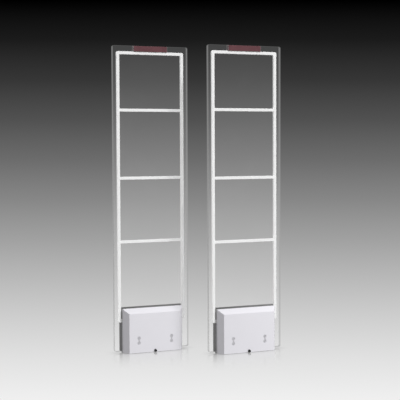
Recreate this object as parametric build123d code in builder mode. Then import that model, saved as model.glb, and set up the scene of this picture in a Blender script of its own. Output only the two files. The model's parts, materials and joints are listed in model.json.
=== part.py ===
"""Security gate: a pair of clear acrylic anti-theft pedestals.

Millimetres. +X runs along the panels' width, -Y is the front (cover) side and +Z is up. The origin
lies on the floor, midway between the two pedestals. Every piece is drawn once in the frame of one
pedestal, whose origin is on the floor under the middle of its panel, and is then placed twice.
"""

import os
from math import cos, hypot, radians, sin, tan

from build123d import *

# --- the pair ----------------------------------------------------------------------------------
PAIR_DISTANCE = 480.0  # between the two panel centres
PAIR_STAGGER = 27.5  # degrees by which the right pedestal stands forward of the left one
HALF_STEP_X = PAIR_DISTANCE / 2 * cos(radians(PAIR_STAGGER))
HALF_STEP_Y = PAIR_DISTANCE / 2 * sin(radians(PAIR_STAGGER))
PEDESTALS = {"left": (-HALF_STEP_X, HALF_STEP_Y, 0), "right": (HALF_STEP_X, -HALF_STEP_Y, 0)}

# --- the clear panel ---------------------------------------------------------------------------
PANEL_WIDTH = 408.0
PANEL_TOP = 1560.0  # above the floor
PANEL_FOOT = 8.0
PANEL_CORNER = 8.0
PANEL_DEPTH = 20.0  # over both sheets
SHEET = 4.0
CAVITY = PANEL_DEPTH - 2 * SHEET
FACE = PANEL_DEPTH / 2  # from the middle plane to an outer face
PANEL_HEIGHT = PANEL_TOP - PANEL_FOOT
PANEL_MIDDLE = (PANEL_TOP + PANEL_FOOT) / 2
EDGE_STRIP = 6.0

# --- the ladder inside the panel ---------------------------------------------------------------
TUBE_WIDTH = 15.0
TUBE_DEPTH = 11.6
TUBE_WALL = 1.5
TUBE_ROUND = 1.5
UPRIGHT_X = 175.0
TOP_RAIL = 1524.0  # heights of the tube centres
RUNGS = (1235.0, 890.0, 566.0)
FOOT_RAIL = 163.0
LADDER_MIDDLE = (TOP_RAIL + FOOT_RAIL) / 2
ELBOW_ARM = 14.0  # from the corner's centre to the end of each arm
ELBOW_ROUND = 9.0
RUNG_PORT = 4.0  # radius of the cable port from an upright into a rung
LEAD_PORT = 3.5  # radius of the cable ports in the foot rail's front wall
LEAD_HOLE = 4.5  # radius of the matching holes in the front sheet and the tray

# --- the lamp in the top edge ------------------------------------------------------------------
NOTCH_WIDTH = 184.0
NOTCH_DEPTH = 28.0
NOTCH_FLOOR = PANEL_TOP - NOTCH_DEPTH
LENS_WIDTH = 181.0
LENS_HEIGHT = 27.5
LENS_WALL = 2.0
LENS_ROUND = 1.5
LAMP_BOARD = (168.0, 11.0, 1.6)
LAMP_BOARD_GAP = 0.2  # over the top rail
LAMP_BOARD_BASE = TOP_RAIL + TUBE_WIDTH / 2 + LAMP_BOARD_GAP
LED_RADIUS = 2.5
LED_HEIGHT = 8.0
LED_PITCH = 20.0
LED_COUNT = 8
LED_CROWN = 2.2

# --- cables ------------------------------------------------------------------------------------
ANTENNA_RADIUS = 2.0
ANTENNA_Y = 1.8
ANTENNA_LEAD_X = 24.0
ANTENNA_BEND = 6.0
BRANCH_RADIUS = 1.6  # of the conductors that cross the rungs
LAMP_RADIUS = 1.5
LAMP_Y = -2.4
LAMP_LEAD_X = -48.0
LAMP_DROP_X = -60.0
LAMP_BEND = 4.0
LAMP_CABLE_TOP = LAMP_BOARD_BASE - LAMP_BOARD_GAP / 2
LEAD_POINTS = [(x, FOOT_RAIL) for x in (LAMP_LEAD_X, -ANTENNA_LEAD_X, ANTENNA_LEAD_X)]
WIRE_RADIUS = 1.2
WIRE_BEND = 3.0
WIRE_Y = -24.0

# --- the steel foot ----------------------------------------------------------------------------
PLATE = 6.0  # base plate thickness
PLATE_FRONT = -46.0
PLATE_REAR = 64.0
FLANGE_WIDTH = 280.0
SEAT_WIDTH = 320.0  # of the base plate under the panel, and of the pad on it
PLATE_ROUND = 5.0
PLATE_EDGE = 0.6
FLOOR_BOLT_X = 110.0
FLOOR_BOLT_Y = 38.0
FLOOR_BOLT_HOLE = 5.5
CABLE_NOTCH_WIDTH = 24.0
CABLE_NOTCH_END = -24.0
REAR_PLATE = 3.0
REAR_PLATE_TOP = 231.0
REAR_PLATE_WIDTH = 343.0

# --- clamp bolts through rear plate, panel and tray --------------------------------------------
CLAMP_X = 138.0
CLAMP_HEIGHTS = (45.0, 195.0)
CLAMP_POINTS = [(side * CLAMP_X, height) for side in (-1, 1) for height in CLAMP_HEIGHTS]
CLAMP_HOLE = 4.2
BOLT_RADIUS = 4.0
BOLT_HEAD_RADIUS = 7.0
BOLT_HEAD = 4.4
BOLT_DOME = 2.6
BOLT_END = -21.0
BOLT_SOCKET = 5.0  # across the flats
NUT_RADIUS = 7.5  # over the corners
NUT_BORE = 4.05
NUT_HEIGHT = 6.5
SLEEVE_RADIUS = 8.0

# --- the tray and what it carries --------------------------------------------------------------
TRAY_WIDTH = 300.0
TRAY_FOOT = 12.0
TRAY_HEIGHT = 200.0
TRAY = 2.0
TRAY_FACE = FACE + TRAY  # distance of the tray's front face from the middle plane
TRAY_LIP = 8.0
LIP_WALL = 1.5
TRAY_ROUND = 6.0
POST_X = 89.5
POST_HEIGHTS = (51.0, 76.0)
POST_POINTS = [(side * POST_X, height) for side in (-1, 1) for height in POST_HEIGHTS]
POST_RADIUS = 5.0
POST_BORE = 2.0
POST_BORE_DEPTH = 16.0
POST_GAP = 0.2  # from the end of a post to the inside of the cover

BOARD_WIDTH = 150.0
BOARD_FOOT = 28.0
BOARD_HEIGHT = 118.0
BOARD = 1.6
BOARD_BACK = 20.0  # distance of the board's back from the middle plane
BOARD_FACE = BOARD_BACK + BOARD
BOARD_MIDDLE = BOARD_FOOT + BOARD_HEIGHT / 2
BOARD_INSET = 6.0
BOARD_POINTS = [
    (side * (BOARD_WIDTH / 2 - BOARD_INSET), height)
    for side in (-1, 1)
    for height in (BOARD_FOOT + BOARD_INSET, BOARD_FOOT + BOARD_HEIGHT - BOARD_INSET)
]
BOARD_HOLE = 1.6
STANDOFF_RADIUS = 3.0
STANDOFF_BORE = 1.45
SCREW_RADIUS = 1.4
SCREW_HEAD_RADIUS = 2.8
SCREW_HEAD = 2.0
SCREW_LENGTH = 7.0

HEADER_X = 66.0
HEADER_Z = 112.0
CAN_ROUND = 0.6

TERMINAL_SIZE = (96.0, 10.0)  # along X, and both up and forward
TERMINAL_FOOT = 134.0
TERMINAL_TOP = TERMINAL_FOOT + TERMINAL_SIZE[1]
TERMINAL_Y = -(BOARD_FACE + TERMINAL_SIZE[1] / 2)
TERMINAL_PITCH = 12.0
TERMINAL_WAYS = 7
TERMINAL_ENTRY = 2.3
TERMINAL_SCREW = 2.6
TERMINAL_SCREW_DEPTH = 1.5
TERMINAL_EDGE = 1.0
TERMINAL_MIDDLE = -12.0
CABLE_END = TERMINAL_TOP - 4.0  # the cable tips sit inside the terminals

DIAL_HEIGHT = 62.0
DIAL_X = {"sensitivity": -38.0, "volume": 38.0}
DIAL_RADIUS = 7.0
DIAL_LENGTH = 8.0
DIAL_SHAFT = 2.95
DIAL_BORE = 3.0
DIAL_BASE = 6.0  # how far the dial's body stands off the board
DIAL_BASE_WIDTH = 14.0
DIAL_GAP = 0.4
DIAL_FLUTES = 12
FLUTE_RADIUS = 0.8
DIAL_MARK = 1.2  # width of the pointer groove
DIAL_MARK_DEPTH = 1.0
SHAFT_GAP = 1.0  # from the board to the end of a dial's shaft

TRANSFORMER_X = 115.0
TRANSFORMER_Z = 132.0
CORE_SIZE = (46.0, 38.0)
CORE_DEPTH = 22.0
COIL_SIZE = (30.0, 54.0)
COIL_DEPTH = 27.0
SMALL_ROUND = 2.0

BUZZER_X = -115.0
BUZZER_Z = 118.0
BUZZER_RADIUS = 15.0
BUZZER_DEPTH = 10.0
BUZZER_PORT = 3.0
BUZZER_ROUND = 1.5

SWITCH_X = -115.0
SWITCH_Z = 172.0
SWITCH_WIDTH = 22.0
SWITCH_TALL = 30.0
SWITCH_DEPTH = 18.0
BEZEL = 2.0
ROCKER_PIVOT = 5.0  # behind the switch's front face
ROCKER_RADIUS = 9.5
ROCKER_WIDTH = 12.0
ROCKER_GAP = 0.3
ROCKER_RISE = 3.4  # from the pivot to the valley of the rocker's face
ROCKER_TILT = 12.0  # degrees each way
PIN_RADIUS = 1.5
PIN_BORE = 1.55
PIN_REACH = 1.6
SWITCH_FACE = TRAY_FACE + SWITCH_DEPTH

# --- the front cover ---------------------------------------------------------------------------
COVER_WIDTH = 327.0
COVER_TOP = 225.0
COVER_FOOT = 1.0
COVER_GAP = 0.5  # between the cover's rim and the panel
COVER_RIM = 12.0  # straight part, next to the panel
COVER_SLANT = 32.0  # depth of the sloping part
COVER_INSET = 22.5  # how much each side and the top slope inwards
COVER_WALL = 2.4
COVER_ROUND = 3.0
COVER_FACE = FACE + COVER_RIM + COVER_SLANT
RECESS_RADIUS = 9.0
RECESS_NECK = 8.0
RECESS_DEPTH = 2.0
COVER_SCREW_HOLE = 2.1
COVER_SCREW = 1.9
COVER_SCREW_HEAD = 4.0
COVER_SCREW_HEAD_DEPTH = 1.1
COVER_SCREW_ROUND = 0.5
COVER_SCREW_LENGTH = 14.0
DRIVE_SLOT = (5.0, 1.1, 0.7)

# --- the cable boot in the cover's foot --------------------------------------------------------
BOOT_Z = 8.0
BOOT_BORE = 3.5
BOOT_FLANGE = 7.0
BOOT_NECK = 5.4
BOOT_TIP = 5.0
BOOT_FLANGE_DEPTH = 3.0
BOOT_LENGTH = 10.0  # in front of the cover
BOOT_INNER_FLANGE = 2.0
BOOT_SLOT = 5.5


def acrylic_sheet(rear_face, lead_holes):
    """One clear sheet whose rear face lies at y = rear_face, notched for the lamp."""
    with BuildPart() as sheet:
        with BuildSketch(Plane.XZ.offset(-rear_face)):
            with Locations((0, PANEL_MIDDLE)):
                RectangleRounded(PANEL_WIDTH, PANEL_HEIGHT, PANEL_CORNER)
            with Locations((0, PANEL_TOP)):
                Rectangle(NOTCH_WIDTH, 2 * NOTCH_DEPTH, mode=Mode.SUBTRACT)
            with Locations(*CLAMP_POINTS):
                Circle(CLAMP_HOLE, mode=Mode.SUBTRACT)
            if lead_holes:
                with Locations(*LEAD_POINTS):
                    Circle(LEAD_HOLE, mode=Mode.SUBTRACT)
        extrude(amount=SHEET)
    return sheet


# ================================================================================================
# The clear panel
# ================================================================================================
front_sheet = acrylic_sheet(rear_face=-CAVITY / 2, lead_holes=True)
rear_sheet = acrylic_sheet(rear_face=FACE, lead_holes=False)

# Clear strips bonded between the sheets: down both sides, along the foot, and along the top
# as far as the notch, whose cheeks they line.
with BuildPart() as edge_strips:
    with BuildSketch(Plane.XZ.offset(-CAVITY / 2)):
        with Locations((0, PANEL_MIDDLE)):
            RectangleRounded(PANEL_WIDTH, PANEL_HEIGHT, PANEL_CORNER)
            Rectangle(PANEL_WIDTH - 2 * EDGE_STRIP, PANEL_HEIGHT - 2 * EDGE_STRIP, mode=Mode.SUBTRACT)
        with Locations((0, PANEL_TOP - NOTCH_DEPTH / 2)):
            Rectangle(NOTCH_WIDTH + 2 * EDGE_STRIP, NOTCH_DEPTH)
            Rectangle(NOTCH_WIDTH, NOTCH_DEPTH, mode=Mode.SUBTRACT)
    extrude(amount=CAVITY)

# ================================================================================================
# The ladder: hollow tubes that carry the antenna cable
# ================================================================================================
with BuildPart() as uprights:
    with BuildSketch(Plane.XY.offset(FOOT_RAIL + ELBOW_ARM)):
        with Locations((UPRIGHT_X, 0)):
            RectangleRounded(TUBE_WIDTH, TUBE_DEPTH, TUBE_ROUND)
            Rectangle(TUBE_WIDTH - 2 * TUBE_WALL, TUBE_DEPTH - 2 * TUBE_WALL, mode=Mode.SUBTRACT)
    extrude(amount=TOP_RAIL - FOOT_RAIL - 2 * ELBOW_ARM)
    with BuildSketch(Plane.YZ.offset(UPRIGHT_X - TUBE_WIDTH / 2 - 1)):
        with Locations(*[(0, height) for height in RUNGS]):
            Circle(RUNG_PORT)
    extrude(amount=TUBE_WALL + 2, mode=Mode.SUBTRACT)
    mirror(about=Plane.YZ)

RAIL_REACH = UPRIGHT_X - ELBOW_ARM  # half length of the top and foot rails
RUNG_REACH = UPRIGHT_X - TUBE_WIDTH / 2  # half length of the rungs
with BuildPart() as cross_rails:
    for height, reach in [(TOP_RAIL, RAIL_REACH), (FOOT_RAIL, RAIL_REACH)] + [
        (rung, RUNG_REACH) for rung in RUNGS
    ]:
        with BuildSketch(Plane.YZ):
            with Locations((0, height)):
                RectangleRounded(TUBE_DEPTH, TUBE_WIDTH, TUBE_ROUND)
                Rectangle(TUBE_DEPTH - 2 * TUBE_WALL, TUBE_WIDTH - 2 * TUBE_WALL, mode=Mode.SUBTRACT)
        extrude(amount=reach, both=True)
    with BuildSketch(Plane.XZ):
        with Locations(*LEAD_POINTS):
            Circle(LEAD_PORT)
    extrude(amount=TUBE_DEPTH, mode=Mode.SUBTRACT)
    with BuildSketch(Plane.XY.offset(TOP_RAIL)):
        with Locations((LAMP_DROP_X, LAMP_Y)):
            Circle(LAMP_RADIUS + TUBE_WALL / 2)
    extrude(amount=TUBE_WIDTH, mode=Mode.SUBTRACT)


def elbow_outline(half_width):
    """An L with both arms of the elbow, half_width to each side of the tube's centre line."""
    arm = ELBOW_ARM + half_width
    with Locations((-UPRIGHT_X - half_width, TOP_RAIL + half_width)):
        Rectangle(arm, 2 * half_width, align=(Align.MIN, Align.MAX))
        Rectangle(2 * half_width, arm, align=(Align.MIN, Align.MAX))


with BuildPart() as corner_elbows:
    with BuildSketch(Plane.XZ) as elbow_sketch:
        elbow_outline(TUBE_WIDTH / 2)
        outer_corner = elbow_sketch.vertices().sort_by(SortBy.DISTANCE)[-1]
        fillet(outer_corner, ELBOW_ROUND)
    extrude(amount=TUBE_DEPTH / 2, both=True)
    with BuildSketch(Plane.XZ) as channel_sketch:
        elbow_outline(TUBE_WIDTH / 2 - TUBE_WALL)
        channel_corner = channel_sketch.vertices().sort_by(SortBy.DISTANCE)[-1]
        fillet(channel_corner, ELBOW_ROUND - TUBE_WALL)
    extrude(amount=TUBE_DEPTH / 2 - TUBE_WALL, both=True, mode=Mode.SUBTRACT)
    mirror(about=Plane.YZ)
    mirror(about=Plane.XY.offset(LADDER_MIDDLE))

# One long cable runs round the ladder, in through one lead port and out through the other. A thinner
# branch joins both sides of it through each rung.
with BuildPart() as antenna_cable:
    with BuildLine() as antenna_path:
        FilletPolyline(
            (-ANTENNA_LEAD_X, TERMINAL_Y, CABLE_END),
            (-ANTENNA_LEAD_X, TERMINAL_Y, FOOT_RAIL),
            (-ANTENNA_LEAD_X, ANTENNA_Y, FOOT_RAIL),
            (-UPRIGHT_X, ANTENNA_Y, FOOT_RAIL),
            (-UPRIGHT_X, ANTENNA_Y, TOP_RAIL),
            (UPRIGHT_X, ANTENNA_Y, TOP_RAIL),
            (UPRIGHT_X, ANTENNA_Y, FOOT_RAIL),
            (ANTENNA_LEAD_X, ANTENNA_Y, FOOT_RAIL),
            (ANTENNA_LEAD_X, TERMINAL_Y, FOOT_RAIL),
            (ANTENNA_LEAD_X, TERMINAL_Y, CABLE_END),
            radius=ANTENNA_BEND,
        )
    with BuildSketch(Plane.XY.offset(CABLE_END)):
        with Locations((-ANTENNA_LEAD_X, TERMINAL_Y)):
            Circle(ANTENNA_RADIUS)
    sweep(path=antenna_path.wire())
    with BuildSketch(Plane.YZ):
        with Locations(*[(ANTENNA_Y, height) for height in RUNGS]):
            Circle(BRANCH_RADIUS)
    extrude(amount=UPRIGHT_X, both=True)

# ================================================================================================
# The lamp
# ================================================================================================
with BuildPart() as lamp_lens:
    with Locations((0, 0, NOTCH_FLOOR)):
        Box(LENS_WIDTH, PANEL_DEPTH, LENS_HEIGHT, align=(Align.CENTER, Align.CENTER, Align.MIN))
    fillet(lamp_lens.faces().sort_by(Axis.Z)[-1].edges(), LENS_ROUND)
    with Locations((0, 0, NOTCH_FLOOR)):
        Box(
            LENS_WIDTH - 2 * LENS_WALL,
            PANEL_DEPTH - 2 * LENS_WALL,
            LENS_HEIGHT - LENS_WALL,
            align=(Align.CENTER, Align.CENTER, Align.MIN),
            mode=Mode.SUBTRACT,
        )

with BuildPart() as lamp_board:
    with Locations((0, 0, LAMP_BOARD_BASE)):
        Box(*LAMP_BOARD, align=(Align.CENTER, Align.CENTER, Align.MIN))

with BuildPart() as lamp_leds:
    with BuildSketch(Plane.XY.offset(LAMP_BOARD_BASE + LAMP_BOARD[2])):
        with GridLocations(LED_PITCH, 1, LED_COUNT, 1):
            Circle(LED_RADIUS)
    extrude(amount=LED_HEIGHT)
    led_crowns = lamp_leds.faces().group_by(Axis.Z)[-1].edges()
    fillet(led_crowns, LED_CROWN)

with BuildPart() as lamp_cable:
    with BuildLine() as lamp_path:
        FilletPolyline(
            (LAMP_DROP_X, LAMP_Y, LAMP_CABLE_TOP),
            (LAMP_DROP_X, LAMP_Y, TOP_RAIL),
            (-UPRIGHT_X, LAMP_Y, TOP_RAIL),
            (-UPRIGHT_X, LAMP_Y, FOOT_RAIL),
            (LAMP_LEAD_X, LAMP_Y, FOOT_RAIL),
            (LAMP_LEAD_X, TERMINAL_Y, FOOT_RAIL),
            (LAMP_LEAD_X, TERMINAL_Y, CABLE_END),
            radius=LAMP_BEND,
        )
    with BuildSketch(Plane.XY.offset(LAMP_CABLE_TOP)):
        with Locations((LAMP_DROP_X, LAMP_Y)):
            Circle(LAMP_RADIUS)
    sweep(path=lamp_path.wire())

# ================================================================================================
# The steel foot, and the bolts that clamp the panel to it
# ================================================================================================
with BuildPart() as base_plate:
    with BuildSketch():
        with Locations((0, (PLATE_FRONT + PLATE_REAR) / 2)):
            RectangleRounded(FLANGE_WIDTH, PLATE_REAR - PLATE_FRONT, PLATE_ROUND)
        with Locations((0, REAR_PLATE / 2)):
            Rectangle(SEAT_WIDTH, PANEL_DEPTH + REAR_PLATE)
        with GridLocations(2 * FLOOR_BOLT_X, 2 * FLOOR_BOLT_Y, 2, 2):
            Circle(FLOOR_BOLT_HOLE, mode=Mode.SUBTRACT)
        with Locations((0, PLATE_FRONT)):
            SlotCenterToCenter(
                2 * (CABLE_NOTCH_END - PLATE_FRONT) - CABLE_NOTCH_WIDTH,
                CABLE_NOTCH_WIDTH,
                rotation=90,
                mode=Mode.SUBTRACT,
            )
    extrude(amount=PLATE)
    chamfer(base_plate.faces().sort_by(Axis.Z)[-1].outer_wire().edges(), PLATE_EDGE)

with BuildPart() as rear_plate:
    with BuildSketch(Plane.XZ.offset(-FACE - REAR_PLATE)) as rear_outline:
        with Locations((0, (PLATE + REAR_PLATE_TOP) / 2)):
            Rectangle(REAR_PLATE_WIDTH, REAR_PLATE_TOP - PLATE)
        fillet(rear_outline.vertices().group_by(Axis.Z)[-1], PLATE_ROUND)
        with Locations(*CLAMP_POINTS):
            Circle(CLAMP_HOLE, mode=Mode.SUBTRACT)
    extrude(amount=REAR_PLATE)

with BuildPart() as seat_pads:
    with Locations((0, 0, PLATE)):
        Box(SEAT_WIDTH, PANEL_DEPTH, PANEL_FOOT - PLATE, align=(Align.CENTER, Align.CENTER, Align.MIN))

# Button-head bolts come in from behind, with a hexagon socket in each head.
with BuildPart() as clamp_bolts:
    with BuildSketch(Plane.XZ.offset(-FACE - REAR_PLATE - BOLT_HEAD)):
        with Locations(*CLAMP_POINTS):
            Circle(BOLT_HEAD_RADIUS)
    extrude(amount=BOLT_HEAD)
    fillet(clamp_bolts.faces().group_by(Axis.Y)[-1].edges(), BOLT_DOME)
    with BuildSketch(Plane.XZ.offset(-FACE - REAR_PLATE)):
        with Locations(*CLAMP_POINTS):
            Circle(BOLT_RADIUS)
    extrude(amount=FACE + REAR_PLATE - BOLT_END)
    with BuildSketch(Plane.XZ.offset(-FACE - REAR_PLATE - BOLT_HEAD)):
        with Locations(*CLAMP_POINTS):
            RegularPolygon(BOLT_SOCKET / 2, 6, major_radius=False)
    extrude(amount=BOLT_HEAD / 2, mode=Mode.SUBTRACT)

with BuildPart() as clamp_nuts:
    with BuildSketch(Plane.XZ.offset(TRAY_FACE)):
        with Locations(*CLAMP_POINTS):
            RegularPolygon(NUT_RADIUS, 6)
            Circle(NUT_BORE, mode=Mode.SUBTRACT)
    extrude(amount=NUT_HEIGHT)

with BuildPart() as spacer_sleeves:
    with BuildSketch(Plane.XZ.offset(-CAVITY / 2)):
        with Locations(*CLAMP_POINTS):
            Circle(SLEEVE_RADIUS)
            Circle(CLAMP_HOLE, mode=Mode.SUBTRACT)
    extrude(amount=CAVITY)

# ================================================================================================
# The tray on the panel's front, with the electronics
# ================================================================================================
TRAY_MIDDLE = TRAY_FOOT + TRAY_HEIGHT / 2
POST_END = COVER_FACE - RECESS_DEPTH - COVER_WALL - POST_GAP
with BuildPart() as electronics_tray:
    with BuildSketch(Plane.XZ.offset(FACE)):
        with Locations((0, TRAY_MIDDLE)):
            RectangleRounded(TRAY_WIDTH, TRAY_HEIGHT, TRAY_ROUND)
    extrude(amount=TRAY)
    with BuildSketch(Plane.XZ.offset(TRAY_FACE)):
        with Locations((0, TRAY_MIDDLE)):
            RectangleRounded(TRAY_WIDTH, TRAY_HEIGHT, TRAY_ROUND)
            RectangleRounded(
                TRAY_WIDTH - 2 * LIP_WALL,
                TRAY_HEIGHT - 2 * LIP_WALL,
                TRAY_ROUND - LIP_WALL,
                mode=Mode.SUBTRACT,
            )
    extrude(amount=TRAY_LIP)
    with BuildSketch(Plane.XZ.offset(TRAY_FACE)):
        with Locations(*POST_POINTS):
            Circle(POST_RADIUS)
    extrude(amount=POST_END - TRAY_FACE)
    with BuildSketch(Plane.XZ.offset(POST_END)):
        with Locations(*POST_POINTS):
            Circle(POST_BORE)
    extrude(amount=-POST_BORE_DEPTH, mode=Mode.SUBTRACT)
    with BuildSketch(Plane.XZ.offset(FACE)):
        with Locations(*CLAMP_POINTS):
            Circle(CLAMP_HOLE)
        with Locations(*LEAD_POINTS):
            Circle(LEAD_HOLE)
    extrude(amount=TRAY, mode=Mode.SUBTRACT)

with BuildPart() as main_board:
    with BuildSketch(Plane.XZ.offset(BOARD_BACK)):
        with Locations((0, BOARD_MIDDLE)):
            RectangleRounded(BOARD_WIDTH, BOARD_HEIGHT, SMALL_ROUND)
        with Locations(*BOARD_POINTS):
            Circle(BOARD_HOLE, mode=Mode.SUBTRACT)
    extrude(amount=BOARD)

with BuildPart() as board_standoffs:
    with BuildSketch(Plane.XZ.offset(TRAY_FACE)):
        with Locations(*BOARD_POINTS):
            Circle(STANDOFF_RADIUS)
            Circle(STANDOFF_BORE, mode=Mode.SUBTRACT)
    extrude(amount=BOARD_BACK - TRAY_FACE)

with BuildPart() as board_screws:
    with BuildSketch(Plane.XZ.offset(BOARD_FACE)):
        with Locations(*BOARD_POINTS):
            Circle(SCREW_HEAD_RADIUS)
    extrude(amount=SCREW_HEAD)
    with BuildSketch(Plane.XZ.offset(BOARD_FACE - SCREW_LENGTH)):
        with Locations(*BOARD_POINTS):
            Circle(SCREW_RADIUS)
    extrude(amount=SCREW_LENGTH)

# Five chips and two plug headers, each as x, height, width, tallness and depth off the board.
CHIPS = [
    (0, 92, 18, 18, 2.2),
    (-34, 96, 12, 8, 1.8),
    (-34, 112, 8, 8, 1.6),
    (36, 100, 16, 7, 2.4),
    (-4, 60, 10, 14, 1.8),
    (-HEADER_X, HEADER_Z, 8, 12, 7),
    (HEADER_X, HEADER_Z, 8, 12, 7),
]
with BuildPart() as board_chips:
    for x, height, width, tall, depth in CHIPS:
        with BuildSketch(Plane.XZ.offset(BOARD_FACE)):
            with Locations((x, height)):
                Rectangle(width, tall)
        extrude(amount=depth)
    with BuildSketch(Plane.XZ.offset(BOARD_FACE)):
        with Locations(*[(x, DIAL_HEIGHT) for x in DIAL_X.values()]):
            Rectangle(DIAL_BASE_WIDTH, DIAL_BASE_WIDTH)
            Circle(DIAL_BORE, mode=Mode.SUBTRACT)
    extrude(amount=DIAL_BASE)

# Round capacitors, each as x, height, radius and length off the board.
CAPACITORS = [(34, 118, 5, 16), (48, 118, 5, 16), (52, 84, 4, 11), (-52, 84, 4, 11)]
with BuildPart() as capacitors:
    for x, height, radius, length in CAPACITORS:
        with BuildSketch(Plane.XZ.offset(BOARD_FACE)):
            with Locations((x, height)):
                Circle(radius)
        extrude(amount=length)
    fillet(capacitors.edges().filter_by(GeomType.CIRCLE), CAN_ROUND)

with BuildPart() as terminal_block:
    with BuildSketch(Plane.XZ.offset(BOARD_FACE)):
        with Locations((TERMINAL_MIDDLE, TERMINAL_FOOT + TERMINAL_SIZE[1] / 2)):
            Rectangle(*TERMINAL_SIZE)
    extrude(amount=TERMINAL_SIZE[1])
    chamfer(terminal_block.faces().sort_by(Axis.Y)[0].edges().filter_by(Axis.X), TERMINAL_EDGE)
    with BuildSketch(Plane.XY.offset(TERMINAL_TOP)):
        with Locations((TERMINAL_MIDDLE, TERMINAL_Y)):
            with GridLocations(TERMINAL_PITCH, 1, TERMINAL_WAYS, 1):
                Circle(TERMINAL_ENTRY)
    extrude(amount=-TERMINAL_SIZE[1] / 2, mode=Mode.SUBTRACT)
    with BuildSketch(Plane.XZ.offset(BOARD_FACE + TERMINAL_SIZE[1])):
        with Locations((TERMINAL_MIDDLE, TERMINAL_FOOT + TERMINAL_SIZE[1] / 2 - TERMINAL_EDGE)):
            with GridLocations(TERMINAL_PITCH, 1, TERMINAL_WAYS, 1):
                Circle(TERMINAL_SCREW)
    extrude(amount=-TERMINAL_SCREW_DEPTH, mode=Mode.SUBTRACT)


def control_dial(x):
    """A small fluted dial whose shaft turns in its body on the board."""
    knob_back = BOARD_FACE + DIAL_BASE + DIAL_GAP
    with BuildPart() as dial:
        with BuildSketch(Plane.XZ.offset(knob_back)):
            with Locations((x, DIAL_HEIGHT)):
                Circle(DIAL_RADIUS)
                with PolarLocations(DIAL_RADIUS, DIAL_FLUTES):
                    Circle(FLUTE_RADIUS, mode=Mode.SUBTRACT)
        extrude(amount=DIAL_LENGTH)
        with BuildSketch(Plane.XZ.offset(BOARD_FACE + SHAFT_GAP)):
            with Locations((x, DIAL_HEIGHT)):
                Circle(DIAL_SHAFT)
        extrude(amount=DIAL_BASE + DIAL_GAP - SHAFT_GAP)
        with BuildSketch(Plane.XZ.offset(knob_back + DIAL_LENGTH)):
            with Locations((x, DIAL_HEIGHT + DIAL_RADIUS / 2)):
                Rectangle(DIAL_MARK, DIAL_RADIUS)
        extrude(amount=-DIAL_MARK_DEPTH, mode=Mode.SUBTRACT)
    return dial


sensitivity_dial = control_dial(DIAL_X["sensitivity"])
volume_dial = control_dial(DIAL_X["volume"])

with BuildPart() as transformer:
    with BuildSketch(Plane.XZ.offset(TRAY_FACE)):
        with Locations((TRANSFORMER_X, TRANSFORMER_Z)):
            Rectangle(*CORE_SIZE)
    extrude(amount=CORE_DEPTH)
    with BuildSketch(Plane.XZ.offset(TRAY_FACE)):
        with Locations((TRANSFORMER_X, TRANSFORMER_Z)):
            RectangleRounded(*COIL_SIZE, SMALL_ROUND)
    extrude(amount=COIL_DEPTH)

with BuildPart() as buzzer:
    with BuildSketch(Plane.XZ.offset(TRAY_FACE)):
        with Locations((BUZZER_X, BUZZER_Z)):
            Circle(BUZZER_RADIUS)
    extrude(amount=BUZZER_DEPTH)
    fillet(buzzer.faces().sort_by(Axis.Y)[0].edges(), BUZZER_ROUND)
    with BuildSketch(Plane.XZ.offset(TRAY_FACE + BUZZER_DEPTH)):
        with Locations((BUZZER_X, BUZZER_Z)):
            Circle(BUZZER_PORT)
    extrude(amount=-BUZZER_DEPTH / 2, mode=Mode.SUBTRACT)

# The rocker swings in a round pocket, so it stays clear of the switch at every angle.
PIVOT_Y = -(SWITCH_FACE - ROCKER_PIVOT)
PIVOT = (SWITCH_X, PIVOT_Y, SWITCH_Z)
SWITCH_PIVOT_PLANE = Plane(origin=PIVOT, x_dir=(0, -1, 0), z_dir=(1, 0, 0))
with BuildPart() as power_switch:
    with BuildSketch(Plane.XZ.offset(TRAY_FACE)):
        with Locations((SWITCH_X, SWITCH_Z)):
            Rectangle(SWITCH_WIDTH - BEZEL, SWITCH_TALL - BEZEL)
    extrude(amount=SWITCH_DEPTH - BEZEL)
    with BuildSketch(Plane.XZ.offset(SWITCH_FACE - BEZEL)):
        with Locations((SWITCH_X, SWITCH_Z)):
            RectangleRounded(SWITCH_WIDTH, SWITCH_TALL, SMALL_ROUND)
    extrude(amount=BEZEL)
    with BuildSketch(SWITCH_PIVOT_PLANE):
        Circle(ROCKER_RADIUS + ROCKER_GAP)
    extrude(amount=ROCKER_WIDTH / 2 + ROCKER_GAP, both=True, mode=Mode.SUBTRACT)
    with BuildSketch(SWITCH_PIVOT_PLANE):
        Circle(PIN_BORE)
    extrude(amount=ROCKER_WIDTH / 2 + PIN_REACH + ROCKER_GAP, both=True, mode=Mode.SUBTRACT)

# At rest the rocker leans one way (on). Its face is a shallow valley across the pivot.
TILT = radians(ROCKER_TILT)
ROCKER_PLANE = Plane(origin=PIVOT, x_dir=(0, -cos(TILT), sin(TILT)), z_dir=(1, 0, 0))
VALLEY_EDGE = ROCKER_RISE + ROCKER_RADIUS * tan(TILT)
with BuildPart() as power_rocker:
    with BuildSketch(ROCKER_PLANE):
        with BuildLine():
            Polyline(
                (-ROCKER_RADIUS, -ROCKER_RADIUS),
                (VALLEY_EDGE, -ROCKER_RADIUS),
                (ROCKER_RISE, 0),
                (VALLEY_EDGE, ROCKER_RADIUS),
                (-ROCKER_RADIUS, ROCKER_RADIUS),
                close=True,
            )
        make_face()
        Circle(ROCKER_RADIUS, mode=Mode.INTERSECT)
    extrude(amount=ROCKER_WIDTH / 2, both=True)
    with BuildSketch(SWITCH_PIVOT_PLANE):
        Circle(PIN_RADIUS)
    extrude(amount=ROCKER_WIDTH / 2 + PIN_REACH, both=True)

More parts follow.
